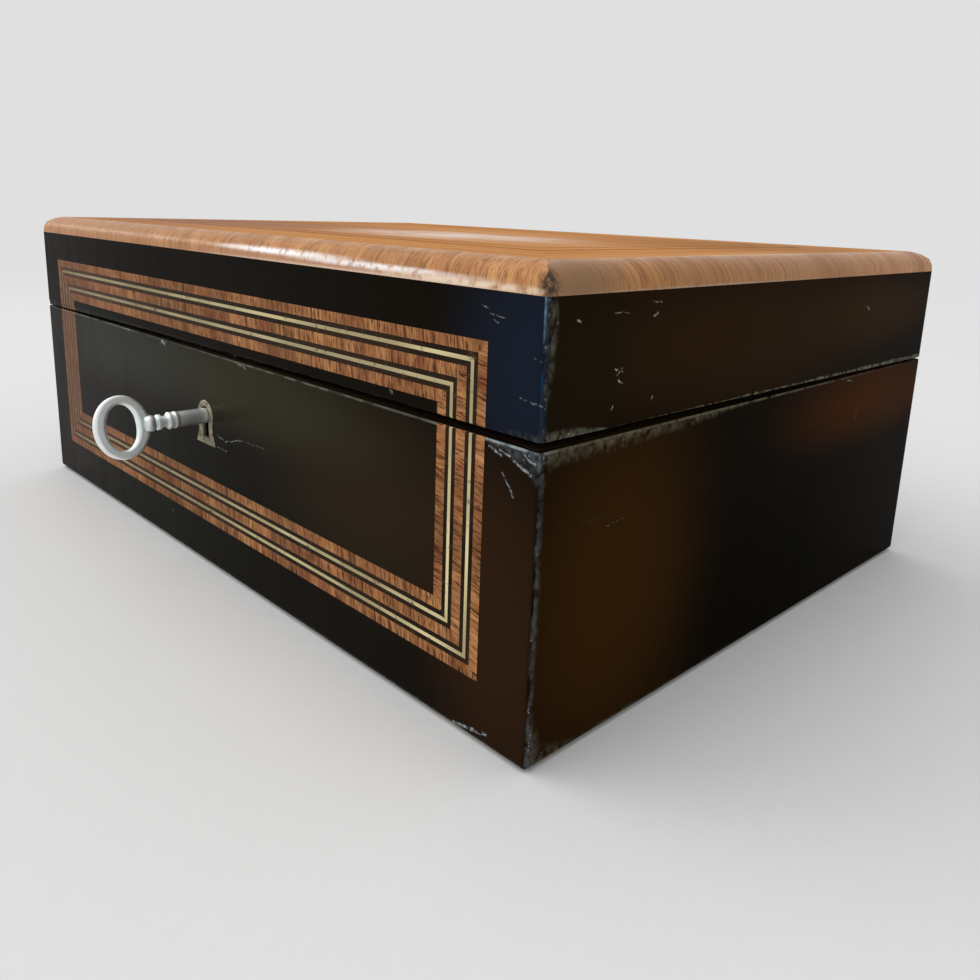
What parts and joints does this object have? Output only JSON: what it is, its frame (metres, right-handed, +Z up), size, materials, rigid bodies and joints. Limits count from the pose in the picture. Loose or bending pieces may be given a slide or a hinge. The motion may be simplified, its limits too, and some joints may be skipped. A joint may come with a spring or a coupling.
{
  "type": "sewing box",
  "caption": "Ebonised wooden sewing box with an inlaid front, a hinged lid with a crossbanded moulding, a box lock with its key, and a lift-out tray of compartments.",
  "frame": {"origin": "on the table, under the middle of the case's footprint, without the key", "axes": "+X to the right along the front, +Y from the front to the back, +Z up"},
  "size_m": [0.28, 0.2296, 0.107],
  "materials": {
    "ebonised_veneer": "French polished",
    "carcass_wood": "planed, unfinished",
    "crossband_wood": "French polished",
    "moulding_wood": "French polished",
    "pale_line": "French polished",
    "dark_line": "French polished",
    "top_wood": "French polished",
    "tray_wood": "waxed",
    "silk": "satin",
    "velvet": "pile",
    "baize": "matt",
    "brass": "aged",
    "steel": "filed",
    "nickel": "worn nickel plate"
  },
  "bodies": {
    "case": {"case_front_board": "carcass_wood", "case_back_board": "carcass_wood", "case_left_board": "carcass_wood", "case_right_board": "carcass_wood", "bottom_board": "carcass_wood", "base_baize": "baize", "case_front_veneer": "ebonised_veneer", "case_back_veneer": "ebonised_veneer", "case_left_veneer": "ebonised_veneer", "case_right_veneer": "ebonised_veneer", "case_liners": "tray_wood", "floor_lining": "silk", "tray_ledges": "tray_wood", "escutcheon": "brass", "lock_case": "brass", "lock_cap": "brass", "lock_drill_pin": "steel", "case_screws": "brass", "hinge_case_leaves": "brass", "hinge_pins": "brass", "case_crossbanding": "crossband_wood", "case_pale_stringing": "pale_line", "case_dark_stringing": "dark_line"},
    "lid": {"lid_front_board": "carcass_wood", "lid_back_board": "carcass_wood", "lid_left_board": "carcass_wood", "lid_right_board": "carcass_wood", "lid_front_veneer": "ebonised_veneer", "lid_back_veneer": "ebonised_veneer", "lid_left_veneer": "ebonised_veneer", "lid_right_veneer": "ebonised_veneer", "lid_liners": "tray_wood", "lid_top_board": "carcass_wood", "lid_front_moulding": "moulding_wood", "lid_back_moulding": "moulding_wood", "lid_left_moulding": "moulding_wood", "lid_right_moulding": "moulding_wood", "lid_top_border": "top_wood", "lid_top_lines": "dark_line", "lid_top_band": "top_wood", "lid_top_field": "top_wood", "lid_pad": "silk", "link_plate": "brass", "lid_screws": "brass", "hinge_lid_leaves": "brass", "lid_crossbanding": "crossband_wood", "lid_pale_stringing": "pale_line", "lid_dark_stringing": "dark_line"},
    "tray": {"tray_front": "tray_wood", "tray_back": "tray_wood", "tray_ends": "tray_wood", "tray_floor": "tray_wood", "tray_dividers": "tray_wood", "tray_pulls": "silk", "pincushion": "velvet"},
    "curtain": {"lock_curtain": "brass"},
    "key": {"key": "nickel"},
    "bolt": {"lock_bolt": "steel", "bolt_spring": "steel"}
  },
  "joints": [
    {"name": "lid_hinge", "type": "hinge", "parent": "case", "child": "lid", "pos_m": [0, 0.097, 0.07095], "axis": [-1, 0, 0], "range_deg": [0, 100]},
    {"name": "tray_lift", "type": "slide", "parent": "case", "child": "tray", "axis": [0, 0, 1], "range_m": [0, 0.06]},
    {"name": "key_turn", "type": "hinge", "parent": "case", "child": "curtain", "pos_m": [0, -0.093, 0.0506], "axis": [0, 1, 0], "range_deg": [0, 360]},
    {"name": "key_pull", "type": "slide", "parent": "curtain", "child": "key", "axis": [0, -1, 0], "range_m": [0, 0.03]},
    {"name": "bolt_throw", "type": "slide", "parent": "case", "child": "bolt", "axis": [1, 0, 0], "range_m": [0, 0.005]}
  ],
  "couplings": [
    {"joint": "tray_lift", "follows": "lid_hinge", "m_per_rad": 0.0343},
    {"joint": "bolt_throw", "follows": "key_turn", "m_per_rad": 0.000795}
  ]
}
